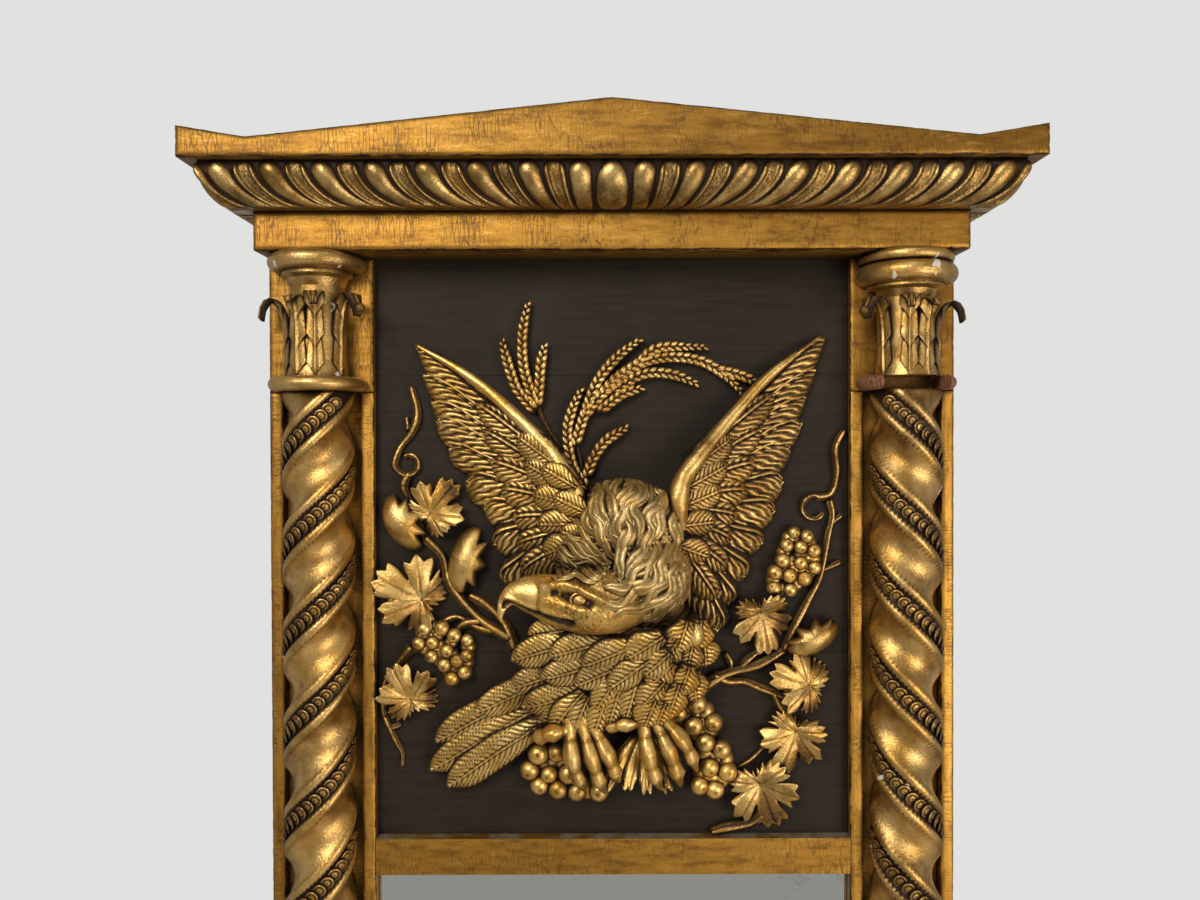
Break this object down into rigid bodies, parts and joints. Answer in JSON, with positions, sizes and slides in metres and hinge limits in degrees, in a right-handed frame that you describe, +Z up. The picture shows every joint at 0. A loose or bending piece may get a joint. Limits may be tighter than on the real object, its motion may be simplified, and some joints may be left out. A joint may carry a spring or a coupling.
{
  "type": "trumeau mirror",
  "caption": "Giltwood trumeau mirror: an eagle with vines and wheat on a dark panel over the glass, between twisted columns, under a gadrooned cornice and a shaped pediment.",
  "frame": {"origin": "middle of the bottom edge, on the plane of the wall", "axes": "+Z up, +Y into the wall, so the front looks towards -Y; +X to the viewer's right"},
  "size_m": [0.981, 0.166, 1.9],
  "materials": {
    "gilt_carving": "gilded, worn, dark in hollows",
    "gilt_column": "gilded and burnished, worn",
    "gilt_board": "gilded, fine craquelure",
    "bare_wood": "aged, unfinished",
    "dark_panel": "dark stain, dull",
    "silvered_glass": "silvered, slightly foxed",
    "iron": "forged, dull"
  },
  "bodies": {
    "root": {"eagle_head": "gilt_carving", "eagle_body": "gilt_carving", "left_wing": "gilt_carving", "right_wing": "gilt_carving", "eagle_tail": "gilt_carving", "eagle_feet": "gilt_carving", "perch_leaf": "gilt_carving", "perch_grapes": "gilt_carving", "left_vine": "gilt_carving", "left_vine_leaves": "gilt_carving", "left_vine_grapes": "gilt_carving", "right_vine": "gilt_carving", "right_vine_leaves": "gilt_carving", "right_vine_grapes": "gilt_carving", "left_wheat": "gilt_carving", "right_wheat": "gilt_carving", "left_column": "gilt_column", "right_column": "gilt_column", "left_capital": "gilt_column", "right_capital": "gilt_column", "left_acanthus": "gilt_column", "right_acanthus": "gilt_column", "left_astragal": "gilt_column", "right_astragal_ends": "gilt_column", "left_column_base": "gilt_column", "right_column_base": "gilt_column", "gadroon_front": "gilt_column", "gadroon_left_return": "gilt_column", "gadroon_right_return": "gilt_column", "left_stile": "gilt_board", "right_stile": "gilt_board", "middle_rail": "gilt_board", "bottom_rail": "gilt_board", "left_outer_strip": "gilt_board", "left_inner_strip": "gilt_board", "right_inner_strip": "gilt_board", "right_outer_strip": "gilt_board", "left_capital_board": "gilt_board", "right_capital_board": "gilt_board", "left_plinth_block": "gilt_board", "right_plinth_block": "gilt_board", "frieze_board": "gilt_board", "pediment_board": "gilt_board", "left_pediment_return": "gilt_board", "right_pediment_return": "gilt_board", "top_rail": "bare_wood", "cornice_core": "bare_wood", "cornice_soffit": "bare_wood", "pediment_glue_blocks": "bare_wood", "panel_battens": "bare_wood", "mirror_blocks": "bare_wood", "backboards": "bare_wood", "upper_panel_board": "dark_panel", "middle_panel_board": "dark_panel", "lower_panel_board": "dark_panel", "mirror_plate": "silvered_glass", "hanging_plates": "iron", "wood_screws": "iron"}
  },
  "joints": []
}
